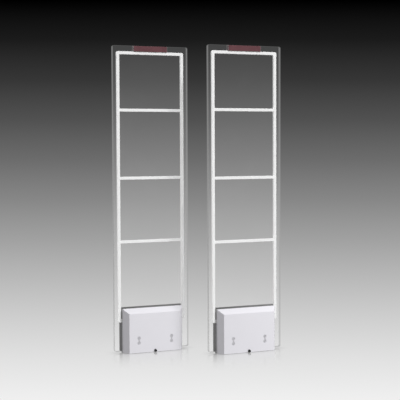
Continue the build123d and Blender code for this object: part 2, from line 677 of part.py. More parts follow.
# Hook-up wires: switch to transformer, transformer to board, buzzer to board.
SUPPLY_Z = 178.0
CORE_SIDE = TRANSFORMER_X - CORE_SIZE[0] / 2
CORE_EXIT_Z = TRANSFORMER_Z - 10.0
BEND_X = CORE_SIDE - 12.0
BUZZER_EXIT_Y = -17.0
BUZZER_BEND_X = -86.0
HEADER_SIDE = HEADER_X + 4.0
WIRE_RUNS = [
    [
        (SWITCH_X + SWITCH_WIDTH / 2, WIRE_Y, SUPPLY_Z),
        (TRANSFORMER_X, WIRE_Y, SUPPLY_Z),
        (TRANSFORMER_X, WIRE_Y, TRANSFORMER_Z + COIL_SIZE[1] / 2),
    ],
    [
        (CORE_SIDE, WIRE_Y, CORE_EXIT_Z),
        (BEND_X, WIRE_Y, CORE_EXIT_Z),
        (BEND_X, WIRE_Y, HEADER_Z),
        (HEADER_SIDE, WIRE_Y, HEADER_Z),
    ],
    [
        (BUZZER_X + BUZZER_RADIUS, BUZZER_EXIT_Y, HEADER_Z),
        (BUZZER_BEND_X, BUZZER_EXIT_Y, HEADER_Z),
        (BUZZER_BEND_X, WIRE_Y, HEADER_Z),
        (-HEADER_SIDE, WIRE_Y, HEADER_Z),
    ],
]


def wire_run(points):
    """A round wire bent along a path that starts off along X."""
    with BuildPart() as wire:
        with BuildLine() as path:
            FilletPolyline(*points, radius=WIRE_BEND)
        with BuildSketch(Plane(origin=points[0], z_dir=(1, 0, 0))):
            Circle(WIRE_RADIUS)
        sweep(path=path.wire())
    return wire


# ================================================================================================
# The front cover, its screws and its cable boot
# ================================================================================================
COVER_HEIGHT = COVER_TOP - COVER_FOOT


def cover_form(margin):
    """The cover's solid form, with its front, top and sides moved inwards by margin."""
    slant_shift = margin * hypot(COVER_SLANT, COVER_INSET) / COVER_SLANT
    shoulder = FACE + COVER_RIM - (slant_shift - margin) * COVER_SLANT / COVER_INSET
    face = COVER_FACE - margin
    inset = slant_shift + COVER_INSET * (face - FACE - COVER_RIM) / COVER_SLANT
    with BuildPart() as form:
        with BuildSketch(Plane.XZ.offset(FACE + COVER_GAP)):
            with Locations((0, COVER_FOOT)):
                Rectangle(
                    COVER_WIDTH - 2 * margin, COVER_HEIGHT - margin, align=(Align.CENTER, Align.MIN)
                )
        extrude(amount=shoulder - FACE - COVER_GAP)
        with BuildSketch(Plane.XZ.offset(shoulder)):
            with Locations((0, COVER_FOOT)):
                Rectangle(
                    COVER_WIDTH - 2 * margin, COVER_HEIGHT - margin, align=(Align.CENTER, Align.MIN)
                )
        with BuildSketch(Plane.XZ.offset(face)):
            with Locations((0, COVER_FOOT)):
                Rectangle(
                    COVER_WIDTH - 2 * inset, COVER_HEIGHT - inset, align=(Align.CENTER, Align.MIN)
                )
        loft()
        rim_y = form.faces().sort_by(Axis.Y)[-1].center().Y
        softened = form.edges().filter_by(
            lambda edge: edge.center().Y < rim_y - COVER_GAP
            and edge.center().Z > COVER_FOOT + COVER_GAP
        )
        fillet(softened, COVER_ROUND - margin)
    return form


def recess_outlines(margin):
    """Both dumbbell outlines round the cover's screws, made larger by margin."""
    with Locations(*POST_POINTS):
        Circle(RECESS_RADIUS + margin)
    with Locations(*[(side * POST_X, sum(POST_HEIGHTS) / 2) for side in (-1, 1)]):
        Rectangle(RECESS_NECK + 2 * margin, POST_HEIGHTS[1] - POST_HEIGHTS[0])


# The screw recesses are formed into the front wall, which keeps its thickness behind them.
with BuildPart() as front_cover:
    add(cover_form(0))
    add(cover_form(COVER_WALL), mode=Mode.SUBTRACT)
    with BuildSketch(Plane.XZ.offset(COVER_FACE - COVER_WALL)):
        recess_outlines(COVER_WALL)
    extrude(amount=-RECESS_DEPTH)
    with BuildSketch(Plane.XZ.offset(COVER_FACE)):
        recess_outlines(0)
    extrude(amount=-RECESS_DEPTH, mode=Mode.SUBTRACT)
    with BuildSketch(Plane.XZ.offset(COVER_FACE)):
        with Locations(*POST_POINTS):
            Circle(COVER_SCREW_HOLE)
        with Locations((0, BOOT_Z)):
            Circle(BOOT_SLOT)
            Rectangle(2 * BOOT_SLOT, BOOT_Z, align=(Align.CENTER, Align.MAX))
    extrude(amount=-(RECESS_DEPTH + 2 * COVER_WALL), mode=Mode.SUBTRACT)

SCREW_SEAT = COVER_FACE - RECESS_DEPTH
with BuildPart() as cover_screws:
    with BuildSketch(Plane.XZ.offset(SCREW_SEAT)):
        with Locations(*POST_POINTS):
            Circle(COVER_SCREW_HEAD)
    extrude(amount=COVER_SCREW_HEAD_DEPTH)
    fillet(cover_screws.faces().group_by(Axis.Y)[0].edges(), COVER_SCREW_ROUND)
    with BuildSketch(Plane.XZ.offset(SCREW_SEAT + COVER_SCREW_HEAD_DEPTH)):
        with Locations(*POST_POINTS):
            Rectangle(DRIVE_SLOT[0], DRIVE_SLOT[1])
            Rectangle(DRIVE_SLOT[1], DRIVE_SLOT[0])
    extrude(amount=-DRIVE_SLOT[2], mode=Mode.SUBTRACT)
    with BuildSketch(Plane.XZ.offset(SCREW_SEAT)):
        with Locations(*POST_POINTS):
            Circle(COVER_SCREW)
    extrude(amount=-COVER_SCREW_LENGTH)

# A rubber boot, grooved to hold the edge of the cover's front wall.
WALL_INSIDE = COVER_FACE - COVER_WALL
with BuildPart() as cable_boot:
    with BuildSketch(Plane.YZ):
        with BuildLine():
            Polyline(
                (-WALL_INSIDE + BOOT_INNER_FLANGE, BOOT_Z + BOOT_BORE),
                (-WALL_INSIDE + BOOT_INNER_FLANGE, BOOT_Z + BOOT_FLANGE),
                (-WALL_INSIDE, BOOT_Z + BOOT_FLANGE),
                (-WALL_INSIDE, BOOT_Z + BOOT_NECK),
                (-COVER_FACE, BOOT_Z + BOOT_NECK),
                (-COVER_FACE, BOOT_Z + BOOT_FLANGE),
                (-COVER_FACE - BOOT_FLANGE_DEPTH, BOOT_Z + BOOT_FLANGE),
                (-COVER_FACE - BOOT_LENGTH, BOOT_Z + BOOT_TIP),
                (-COVER_FACE - BOOT_LENGTH, BOOT_Z + BOOT_BORE),
                close=True,
            )
        make_face()
    revolve(axis=Axis((0, 0, BOOT_Z), (0, 1, 0)))

# ================================================================================================
# Written pieces
# ================================================================================================
OWN_PIECES = {
    "front_sheet": front_sheet.part,
    "rear_sheet": rear_sheet.part,
    "edge_strips": edge_strips.part,
    "uprights": uprights.part,
    "cross_rails": cross_rails.part,
    "corner_elbows": corner_elbows.part,
    "antenna_cable": antenna_cable.part,
    "lamp_lens": lamp_lens.part,
    "lamp_board": lamp_board.part,
    "lamp_cable": lamp_cable.part,
    "base_plate": base_plate.part,
    "rear_plate": rear_plate.part,
    "electronics_tray": electronics_tray.part,
    "main_board": main_board.part,
    "terminal_block": terminal_block.part,
    "transformer": transformer.part,
    "buzzer": buzzer.part,
    "power_switch": power_switch.part,
    "power_rocker": power_rocker.part,
    "sensitivity_dial": sensitivity_dial.part,
    "volume_dial": volume_dial.part,
    "wiring_loom": Compound(children=[wire_run(points).part for points in WIRE_RUNS]),
    "front_cover": front_cover.part,
    "cover_screws": cover_screws.part,
    "cable_boot": cable_boot.part,
}

# Small identical pieces of both pedestals share one node.
SHARED_PIECES = {
    "lamp_leds": lamp_leds.part,
    "seat_pads": seat_pads.part,
    "clamp_bolts": clamp_bolts.part,
    "clamp_nuts": clamp_nuts.part,
    "spacer_sleeves": spacer_sleeves.part,
    "board_standoffs": board_standoffs.part,
    "board_screws": board_screws.part,
    "board_chips": board_chips.part,
    "capacitors": capacitors.part,
}

os.makedirs("parts", exist_ok=True)

for name, piece in OWN_PIECES.items():
    for side, place in PEDESTALS.items():
        placed = piece.moved(Location(place))
        placed.label = f"{side}_{name}"
        export_step(placed, f"parts/{placed.label}.step")

for name, piece in SHARED_PIECES.items():
    group = Compound(children=[piece.moved(Location(place)) for place in PEDESTALS.values()])
    group.label = name
    export_step(group, f"parts/{name}.step")
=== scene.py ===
import json
import math
import random

import bmesh
import bpy
from mathutils import Matrix, Vector


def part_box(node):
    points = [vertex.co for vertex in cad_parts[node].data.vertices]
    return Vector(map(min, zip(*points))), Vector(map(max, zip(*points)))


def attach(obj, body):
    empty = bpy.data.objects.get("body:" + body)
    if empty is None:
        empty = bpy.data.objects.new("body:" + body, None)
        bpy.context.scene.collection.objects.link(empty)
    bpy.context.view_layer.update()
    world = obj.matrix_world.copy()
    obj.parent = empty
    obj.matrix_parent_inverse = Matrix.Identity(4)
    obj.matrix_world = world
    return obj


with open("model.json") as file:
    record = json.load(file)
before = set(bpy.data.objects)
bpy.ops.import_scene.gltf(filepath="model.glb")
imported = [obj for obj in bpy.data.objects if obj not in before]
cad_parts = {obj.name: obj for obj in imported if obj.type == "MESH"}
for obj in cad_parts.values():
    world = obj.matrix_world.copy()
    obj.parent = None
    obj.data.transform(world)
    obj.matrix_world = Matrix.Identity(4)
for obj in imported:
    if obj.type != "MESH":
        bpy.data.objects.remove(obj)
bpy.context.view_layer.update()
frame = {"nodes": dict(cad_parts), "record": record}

MM = 0.001
SIDES = ("left", "right")


def grey(level, alpha=1.0):
    """A neutral colour."""
    return (level, level, level, alpha)


def scaled(colour, factor):
    """A colour made darker or lighter, with full alpha."""
    return tuple(channel * factor for channel in colour[:3]) + (1,)


def display_grey(tone):
    """The linear level of a display grey between 0 and 1."""
    return tone / 12.92 if tone < 0.04045 else ((tone + 0.055) / 1.055) ** 2.4


# --- node helpers ------------------------------------------------------------------------------
class Shader:
    """A node tree that is built one node at a time."""

    def __init__(self, owner):
        owner.use_nodes = True
        self.owner = owner
        self.tree = owner.node_tree
        self.tree.nodes.clear()
        kind = "World" if isinstance(owner, bpy.types.World) else "Material"
        self.output = self.tree.nodes.new("ShaderNodeOutput" + kind)

    def add(self, kind, inputs=None, **settings):
        """A node of that kind; inputs maps a socket to a value or to another node's output."""
        node = self.tree.nodes.new("ShaderNode" + kind)
        for key, value in settings.items():
            setattr(node, key, value)
        for key, value in (inputs or {}).items():
            if isinstance(value, bpy.types.NodeSocket):
                self.tree.links.new(value, node.inputs[key])
            else:
                node.inputs[key].default_value = value
        return node

    def math(self, operation, first, second=0.0, third=0.0):
        """The result of one maths operation."""
        return self.add("Math", {0: first, 1: second, 2: third}, operation=operation).outputs[0]

    def position(self):
        """Where the point is at rest, in metres."""
        return self.add("TexCoord").outputs["Object"]

    def axes(self, vector):
        """The three parts of a vector."""
        return self.add("SeparateXYZ", {0: vector}).outputs

    def normal(self):
        """The surface's own direction."""
        return self.add("NewGeometry").outputs["Normal"]

    def ray(self, kind):
        """1 for rays of that kind, such as "Is Camera Ray"."""
        return self.add("LightPath").outputs[kind]

    def noise(self, scale, detail=3.0, roughness=0.55, vector=None):
        """Soft noise between 0 and 1."""
        inputs = {"Scale": scale, "Detail": detail, "Roughness": roughness}
        inputs["Vector"] = vector or self.position()
        return self.add("TexNoise", inputs).outputs["Fac"]

    def stretched(self, x, y, z):
        """The position with each axis stretched, for streaks."""
        return self.add("Mapping", {"Vector": self.position(), "Scale": (x, y, z)}).outputs[0]

    def ramp(self, value, stops):
        """A colour ramp through (position, grey or colour) stops."""
        node = self.add("ValToRGB", {"Fac": value})
        elements = node.color_ramp.elements
        while len(elements) < len(stops):
            elements.new(0.5)
        for element, (place, colour) in zip(elements, stops):
            element.position = place
            element.color = colour if isinstance(colour, tuple) else grey(colour)
        return node.outputs["Color"]

    def between(self, value, low, high):
        """Runs from 0 at low to 1 at high."""
        inputs = {"Value": value, "From Min": low, "From Max": high}
        return self.add("MapRange", inputs, clamp=True).outputs[0]

    def blend(self, factor, first, second):
        """Two colours mixed; 6 and 7 are the Mix node's colour sockets."""
        inputs = {"Factor": factor, 6: first, 7: second}
        return self.add("Mix", inputs, data_type="RGBA").outputs[2]

    def bump(self, height, strength, distance, normal=None):
        """A normal bent by a height."""
        inputs = {"Height": height, "Strength": strength, "Distance": distance}
        if normal is not None:
            inputs["Normal"] = normal
        return self.add("Bump", inputs).outputs["Normal"]

    def mix(self, factor, first, second):
        """Two shaders mixed."""
        return self.add("MixShader", {0: factor, 1: first, 2: second}).outputs[0]

    def clear(self, level=1.0):
        """A surface that is looked straight through."""
        return self.add("BsdfTransparent", {"Color": grey(level)}).outputs[0]

    def glow(self, colour, strength=1.0):
        """Light given off by the surface."""
        return self.add("Emission", {"Color": colour, "Strength": strength}).outputs[0]

    def principled(self, colour, roughness, normal=None, **more):
        """A principled surface; more holds further inputs with spaces written as underscores."""
        inputs = {"Base Color": colour, "Roughness": roughness}
        if normal is not None:
            inputs["Normal"] = normal
        for key, value in more.items():
            inputs[key.replace("_", " ")] = value
        return self.add("BsdfPrincipled", inputs).outputs[0]

    def finish(self, surface):
        """Sends the surface out and returns the material or world."""
        self.tree.links.new(surface, self.output.inputs["Surface"])
        return self.owner


def material(name):
    """A shader for a new material."""
    return Shader(bpy.data.materials.new(name))


# --- clear materials ---------------------------------------------------------------------------
# How bright the studio looks in a polished face, by the slope of the reflected ray; the clear faces paint
# this as a reflection, and the world shows it to glossy rays.
REFLECTED = [(-0.20, 0.86), (-0.06, 0.79), (0.08, 0.32), (0.11, 0.34), (0.14, 0.76), (0.20, 0.76)]
FACE_REFLECTS = 0.0387  # share of the light that a clear face reflects, head on
EDGE_SEEN = 0.50  # share of the view that passes through a sawn edge
EDGE_PAINTED_GLOW = 0.165  # painted glow at a sheet's sawn edges, standing in for the light that the sheet gathers
EDGE_FLAT = 0.4  # share of that glow at the top and the foot
EDGE_STREAK = 0.14  # how far streaks take it up and down
SQUARE_ON = 0.7  # a face with more than this of its normal along an axis faces that way
OUTERMOST = 0.499  # how far from the middle, as a share of its size, a strip's outermost faces start
ASLANT = 0.02  # a face with more than this slant between X and Z is part of a round corner


def sawn_edge(s):
    """A polished sawn edge: half clear, with a painted glow for the light that the sheet has gathered."""
    streaks = s.noise(1.0, 4.0, 0.6, s.stretched(900, 900, 6))
    level = s.ramp(streaks, [(0.25, EDGE_PAINTED_GLOW * (1 - EDGE_STREAK)), (0.75, EDGE_PAINTED_GLOW * (1 + EDGE_STREAK))])
    flat = s.math("ABSOLUTE", s.axes(s.normal())["Z"])
    strength = s.math("MULTIPLY_ADD", flat, EDGE_FLAT - 1, 1.0)
    return s.add("AddShader", {0: s.clear(EDGE_SEEN), 1: s.glow(level, strength)}).outputs[0]


def studio_reflection(s, slope):
    """What a mirror shows of the studio, by the slope of the reflected ray."""
    low, high = REFLECTED[0][0], REFLECTED[-1][0]
    stops = [((place - low) / (high - low), level) for place, level in REFLECTED]
    return s.ramp(s.between(slope, low, high), stops)


def polished_face(s):
    """A polished clear face: looked through, with a thin painted reflection of the studio, brighter in a few
    smudges.
    """
    geometry = s.add("NewGeometry").outputs
    upright = s.add("VectorMath", {0: geometry["Normal"], 1: geometry["Incoming"]}, operation="DOT_PRODUCT")
    glancing = s.math("SUBTRACT", 1.0, s.math("ABSOLUTE", upright.outputs["Value"]))
    share = s.math("MULTIPLY_ADD", s.math("POWER", glancing, 5.0), 1 - FACE_REFLECTS, FACE_REFLECTS)
    slope = s.math("MULTIPLY", s.axes(geometry["Incoming"])["Z"], -1.0)
    smudge = s.ramp(s.noise(7.0, 5.0, 0.6), [(0.5, 1.0), (0.8, 1.12)])
    seen = s.math("SUBTRACT", 1.0, s.ray("Is Diffuse Ray"))
    # painted reflection: an emission in the studio's tones, stronger where the smudges are
    shine = s.glow(studio_reflection(s, slope), s.math("MULTIPLY", seen, smudge))
    return s.mix(share, s.clear(), shine)


def clear_acrylic():
    """Clear sheet: a thin painted reflection on both faces, a painted glow in every sawn edge."""
    s = material("clear_acrylic")
    facing = s.math("ABSOLUTE", s.axes(s.normal())["Y"])
    return s.finish(s.mix(s.math("GREATER_THAN", facing, SQUARE_ON), sawn_edge(s), polished_face(s)))


def clear_edge():
    """The strips bonded between the sheets: only their outermost faces and round corners show."""
    s = material("clear_edge")
    place = s.axes(s.add("TexCoord").outputs["Generated"])
    outward = s.math("MAXIMUM", *[
        s.math("GREATER_THAN", s.math("ABSOLUTE", s.math("SUBTRACT", place[axis], 0.5)), OUTERMOST)
        for axis in ("X", "Z")
    ])
    facing = s.axes(s.normal())
    side = s.math("LESS_THAN", s.math("ABSOLUTE", facing["Y"]), SQUARE_ON)
    aslant = s.math("ABSOLUTE", s.math("MULTIPLY", facing["X"], facing["Z"]))
    shown = s.math("MAXIMUM", outward, s.math("GREATER_THAN", aslant, ASLANT))
    return s.finish(s.mix(s.math("MULTIPLY", shown, side), s.clear(), sawn_edge(s)))


def red_lens():
    """Dark red translucent lamp lens."""
    s = material("red_lens")
    tint = s.add("BsdfTransparent", {"Color": (0.62, 0.16, 0.18, 1)}).outputs[0]
    cloud = s.noise(16.0, 2.0)
    colour = s.ramp(cloud, [(0.35, (0.125, 0.048, 0.056, 1)), (0.65, (0.15, 0.058, 0.067, 1))])
    diffuse = s.principled(colour, 0.22)
    return s.finish(s.mix(0.78, tint, diffuse))


# --- solid materials ---------------------------------------------------------------------------
COVER_PAINTED_LIGHT_TONE = 1.075  # painted light: tone that a cover nears towards +X, as a share of its own
COVER_PAINTED_LIGHT_SHARE = 0.8  # how near the painted light gets
RECESS_PAINTED_SHADE_TONE = 0.74  # painted shade: tone of a recess floor, as a share of the cover's
RECESS_FACING = -0.9  # a recess floor has less than this of its normal along Y


def moulded_white(name, colour, roughness, grain, recess_at=None):
    """White moulded plastic with a fine spark-eroded grain.

    With recess_at it is a cover's: painted light makes it paler towards +X, and painted shade makes forward
    faces behind that depth greyer.
    """
    s = material(name)
    shade = s.ramp(s.noise(14.0, 2.0), [(0.3, scaled(colour, 0.975)), (0.7, scaled(colour, 1.0))])
    if recess_at is not None:
        # painted light: the cover turns paler towards +X
        across = s.axes(s.add("TexCoord").outputs["Generated"])["X"]
        shade = s.blend(s.math("MULTIPLY", across, COVER_PAINTED_LIGHT_SHARE), shade, scaled(colour, COVER_PAINTED_LIGHT_TONE))
        # painted shade: forward faces behind the recess depth turn greyer
        depth = s.axes(s.position())["Y"]
        forward = s.math("LESS_THAN", s.axes(s.normal())["Y"], RECESS_FACING)
        sunk = s.math("GREATER_THAN", depth, recess_at)
        shade = s.blend(s.math("MULTIPLY", forward, sunk), shade, scaled(colour, RECESS_PAINTED_SHADE_TONE))
    normal = s.bump(s.noise(2600.0, 2.0), grain, 0.0002)
    rough = s.between(s.noise(30.0, 3.0), 0.0, 1.0)
    rough = s.math("MULTIPLY_ADD", rough, 0.12, roughness - 0.06)
    return s.finish(s.principled(shade, rough, normal, Specular_IOR_Level=0.4))


TUBE_PAINTED_GLOW = 0.04  # painted glow that a tube's front and back give off
TUBE_SIDE_PAINTED_GLOW = 0.24  # how much more painted glow its sides give off


def white_tube_painted_glow():
    """Satin white tube with a painted glow, strongest on its sides, so its shaded sides stay pale."""
    s = material("white_tube")
    shade = s.ramp(s.noise(9.0, 3.0), [(0.3, grey(0.90)), (0.7, grey(0.94))])
    # painted glow: an emission that lightens the tube, most on its sides
    beside = s.math("ABSOLUTE", s.axes(s.normal())["X"])
    through = s.glow(grey(0.93), s.math("MULTIPLY_ADD", beside, TUBE_SIDE_PAINTED_GLOW, TUBE_PAINTED_GLOW))
    normal = s.bump(s.noise(1.0, 3.0, 0.5, s.stretched(900, 900, 60)), 0.05, 0.0002)
    solid = s.principled(shade, 0.33, normal, Specular_IOR_Level=0.4)
    return s.finish(s.add("AddShader", {0: solid, 1: through}).outputs[0])


def powder_coat():
    """Charcoal powder coat with an orange-peel skin and a painted sheen that makes it paler towards +X on
    all but its rear faces.
    """
    s = material("charcoal_steel")
    # painted sheen: paler towards +X, except on the rear faces
    across = s.axes(s.add("TexCoord").outputs["Generated"])["X"]
    ahead = s.math("LESS_THAN", s.axes(s.normal())["Y"], 0.5)
    painted_sheen = s.ramp(s.math("MULTIPLY", across, ahead), [(0.1, 0.055), (0.55, 0.11), (1.0, 0.34)])
    shade = s.blend(s.between(s.noise(35.0, 4.0), 0.3, 0.9), painted_sheen, grey(0.075))
    peel = s.bump(s.noise(700.0, 3.0), 0.35, 0.0003)
    return s.finish(s.principled(shade, 0.5, peel))


def circuit_board():
    """Green solder mask on both faces, the pale laminate on the sawn edges."""
    s = material("board_green")
    facing = s.math("ABSOLUTE", s.axes(s.normal())["Y"])
    mask = s.ramp(s.noise(120.0, 4.0), [(0.3, (0.012, 0.115, 0.045, 1)), (0.7, (0.02, 0.16, 0.07, 1))])
    weave = s.ramp(s.noise(900.0, 2.0), [(0.3, (0.30, 0.27, 0.12, 1)), (0.7, (0.42, 0.38, 0.20, 1))])
    shade = s.blend(s.math("GREATER_THAN", facing, SQUARE_ON), weave, mask)
    return s.finish(s.principled(shade, 0.3, s.bump(s.noise(1500.0, 2.0), 0.08, 0.0001)))


CORE_SHARE = 38 / 54  # of the transformer's height that its core takes up
CORE_BEHIND = 4 / 27  # of its depth, just less than the coil stands proud of the core


def transformer_body():
    """A stack of varnished laminations round a coil in amber tape, told apart by place."""
    s = material("laminated_steel")
    place = s.axes(s.add("TexCoord").outputs["Generated"])
    height = s.math("ABSOLUTE", s.math("SUBTRACT", place["Z"], 0.5))
    beside = s.math("LESS_THAN", height, CORE_SHARE / 2)
    behind = s.math("GREATER_THAN", place["Y"], CORE_BEHIND)
    core = s.math("MULTIPLY", beside, behind)
    layers = s.noise(1.0, 2.0, 0.5, s.stretched(8, 2200, 8))
    wraps = s.noise(1.0, 2.0, 0.5, s.stretched(8, 8, 420))
    steel = s.ramp(layers, [(0.35, (0.075, 0.06, 0.045, 1)), (0.65, (0.30, 0.25, 0.19, 1))])
    tape = s.ramp(wraps, [(0.4, (0.52, 0.30, 0.05, 1)), (0.6, (0.66, 0.41, 0.09, 1))])
    relief = s.blend(core, wraps, layers)
    normal = s.bump(relief, 0.6, 0.0004)
    return s.finish(s.principled(s.blend(core, tape, steel), 0.38, normal))


SLEEVE_STRIPE = 0.86  # the stripe is where a sleeve's normal has more than this along +X


def sleeve():
    """A capacitor's dark sleeve with a pale stripe down one side."""
    s = material("capacitor_sleeve")
    stripe = s.math("GREATER_THAN", s.axes(s.normal())["X"], SLEEVE_STRIPE)
    film = s.ramp(s.noise(200.0, 2.0), [(0.3, (0.012, 0.02, 0.06, 1)), (0.7, (0.02, 0.03, 0.08, 1))])
    shade = s.blend(stripe, film, (0.45, 0.46, 0.50, 1))
    return s.finish(s.principled(shade, 0.28, s.bump(s.noise(300.0, 3.0), 0.12, 0.0002)))


def plain(name, colour, roughness=0.5, metallic=0.0, grain=0.1, grain_scale=900.0):
    """A solid finish with slight variation of tone, gloss and surface."""
    s = material(name)
    shade = s.ramp(s.noise(40.0, 3.0), [(0.3, scaled(colour, 0.88)), (0.7, scaled(colour, 1.0))])
    rough = s.ramp(s.noise(60.0, 3.0), [(0.3, roughness * 0.85), (0.7, min(1.0, roughness * 1.15))])
    normal = s.bump(s.noise(grain_scale, 3.0), grain, 0.0002)
    return s.finish(s.principled(shade, rough, normal, Metallic=metallic))


MATERIALS = {
    "clear_acrylic": clear_acrylic(),
    "clear_edge": clear_edge(),
    "white_tube": white_tube_painted_glow(),
    "tray_white": moulded_white("tray_white", (0.70, 0.70, 0.71), 0.5, 0.15),
    "white_screw": plain("white_screw", (0.54, 0.54, 0.56), 0.4),
    "red_lens": red_lens(),
    "led_red": plain("led_red", (0.55, 0.05, 0.05), 0.3),
    "charcoal_steel": powder_coat(),
    "black_rubber": plain("black_rubber", (0.02, 0.02, 0.021), 0.7, grain=0.3),
    "zinc_steel": plain("zinc_steel", (0.55, 0.56, 0.58), 0.35, metallic=1.0),
    "aluminium_sleeve": plain("aluminium_sleeve", (0.70, 0.71, 0.73), 0.35, metallic=1.0),
    "aluminium_can": plain("aluminium_can", (0.66, 0.67, 0.70), 0.3, metallic=1.0),
    "brass": plain("brass", (0.72, 0.55, 0.25), 0.35, metallic=1.0),
    "laminated_steel": transformer_body(),
    "board_green": circuit_board(),
    "terminal_green": plain("terminal_green", (0.06, 0.30, 0.13), 0.45),
    "black_plastic": plain("black_plastic", (0.03, 0.03, 0.033), 0.45),
    "dial_blue": plain("dial_blue", (0.05, 0.14, 0.42), 0.4),
    "cable_grey": plain("cable_grey", (0.30, 0.30, 0.32), 0.5),
    "cable_red": plain("cable_red", (0.40, 0.04, 0.035), 0.5),
    "tinned": plain("tinned", (0.72, 0.73, 0.74), 0.3, metallic=1.0),
    "copper_trace": plain("copper_trace", (0.035, 0.24, 0.10), 0.3),
    "resistor_black": plain("resistor_black", (0.02, 0.02, 0.022), 0.35),
    "capacitor_tan": plain("capacitor_tan", (0.42, 0.30, 0.18), 0.45),
    "pointer_white": plain("pointer_white", (0.80, 0.80, 0.80), 0.5),
    "capacitor_sleeve": sleeve(),
}
COVER_WHITE = (0.745, 0.735, 0.775)
RECESS_START = 1.0 * MM  # how far behind a cover's front its recess floors are looked for
for row in frame["record"]["subparts"]:
    node = frame["nodes"][row["node"]]
    slot = row["material_slot"]
    if slot == "white_cover":
        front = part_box(row["node"])[0].y
        MATERIALS[row["node"]] = moulded_white(row["node"], COVER_WHITE, 0.45, 0.15, front + RECESS_START)
        slot = row["node"]
    node.data.materials.clear()
    node.data.materials.append(MATERIALS[slot])


# --- small parts on the boards -----------------------------------------------------------------
class Piece:
    """A new piece, gathered from small blocks, rods and prisms."""

    def __init__(self):
        self.mesh = bmesh.new()

    def soften(self, corners, edges_at, bevel):
        """Bevels the edges between those corners that edges_at picks."""
        picked = {edge: None for corner in corners for edge in corner.link_edges if edges_at(edge)}
        bmesh.ops.bevel(self.mesh, geom=list(picked), offset=bevel, segments=2, profile=0.5, affect="EDGES")

    def block(self, low, high, bevel):
        """A block between two corners, with all its edges bevelled."""
        size = Matrix.Diagonal((*(high - low), 1))
        place = Matrix.Translation((low + high) / 2) @ size
        made = bmesh.ops.create_cube(self.mesh, size=1, matrix=place)
        self.soften(made["verts"], lambda edge: True, bevel)

    def rod(self, front, radius, length, bevel, segments=28):
        """A round rod that runs back along Y from the middle of its bevelled front."""
        place = Matrix.Translation(front + Vector((0, length / 2, 0))) @ Matrix.Rotation(math.pi / 2, 4, "X")
        made = bmesh.ops.create_cone(
            self.mesh, cap_ends=True, segments=segments, radius1=radius, radius2=radius,
            depth=length, matrix=place,
        )
        ahead = front.y + length / 2
        self.soften(made["verts"], lambda edge: max(v.co.y for v in edge.verts) < ahead, bevel)

    def prism(self, outline, along):
        """A flat outline drawn out along a vector."""
        near = [self.mesh.verts.new(point) for point in outline]
        far = [self.mesh.verts.new(point + along) for point in outline]
        self.mesh.faces.new(near)
        self.mesh.faces.new(far[::-1])
        for i, corner in enumerate(near):
            self.mesh.faces.new((near[i - 1], far[i - 1], far[i], corner))

    def finish(self, name, body, finish, slot):
        """Makes the object, which rides on a body and takes the material that finish names; slot is not
        used.
        """
        bmesh.ops.recalc_face_normals(self.mesh, faces=self.mesh.faces)
        data = bpy.data.meshes.new(name)
        self.mesh.to_mesh(data)
        self.mesh.free()
        data.materials.append(MATERIALS[finish])
        piece = bpy.data.objects.new(name, data)
        bpy.context.scene.collection.objects.link(piece)
        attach(piece, body)


SPOT_DIGITS = 6  # decimals of a metre to which corners in one place agree


def lumps(node):
    """The two corners of each separate lump of a node."""
    mesh = frame["nodes"][node].data
    numbers = {}
    leader = []
    members = []
    for vertex in mesh.vertices:
        spot = tuple(round(c, SPOT_DIGITS) for c in vertex.co)
        if spot not in numbers:
            numbers[spot] = len(leader)
            leader.append(len(leader))
        members.append(numbers[spot])

    def head(i):
        while leader[i] != i:
            i = leader[i]
        return i

    for polygon in mesh.polygons:
        first = head(members[polygon.vertices[0]])
        for corner in polygon.vertices[1:]:
            leader[head(members[corner])] = first
    groups = {}
    for spot, i in numbers.items():
        groups.setdefault(head(i), []).append(spot)
    return [(Vector(map(min, zip(*spots))), Vector(map(max, zip(*spots)))) for spots in groups.values()]


LUMPS = {node: lumps(node) for node in ("board_chips", "capacitors", "board_screws")}

LEG_PITCH = 1.27 * MM
LEG_WIDTH = 0.42 * MM
LEG_SHEET = 0.16 * MM
LEG_REACH = (0.45 * MM, 0.75 * MM, 1.5 * MM)  # from the chip's side to each bend and to the tip
CHIP_DEPTH = 2.6 * MM  # chips stand less than this off the board, headers and dials more
CHIP_SLACK = 0.5 * MM  # sides this much shorter than a chip's longest have no legs
TRACE_WIDTH = 0.32 * MM
TRACE_RISE = 0.03 * MM
TRACE_LEAST_RISE = 0.4  # tracks that cross stand off the board by different shares of the rise
VIA_RADIUS = 0.55 * MM
VIA_SEGMENTS = 16
TRACE_OUT = (1.6 * MM, 5.0 * MM)
TRACE_RUN = (3.0 * MM, 11.0 * MM)
BOARD_MARGIN = 2.5 * MM


def chip_leg(piece, root, out, face, depth):
    """One gull-wing leg: root on the chip's side, out the way it points, down to the board's face."""
    shoulder, knee, tip = LEG_REACH
    middle = face - depth / 2
    profile = [
        (0, middle), (shoulder, middle), (knee, face - LEG_SHEET), (tip, face - LEG_SHEET), (tip, face),
        (knee - LEG_SHEET, face), (shoulder - LEG_SHEET, middle + LEG_SHEET), (0, middle + LEG_SHEET),
    ]
    width = Vector((abs(out.z), 0, abs(out.x))) * LEG_WIDTH
    start = Vector((root.x, 0, root.z)) - width / 2
    piece.prism([start + out * reach + Vector((0, y, 0)) for reach, y in profile], width)


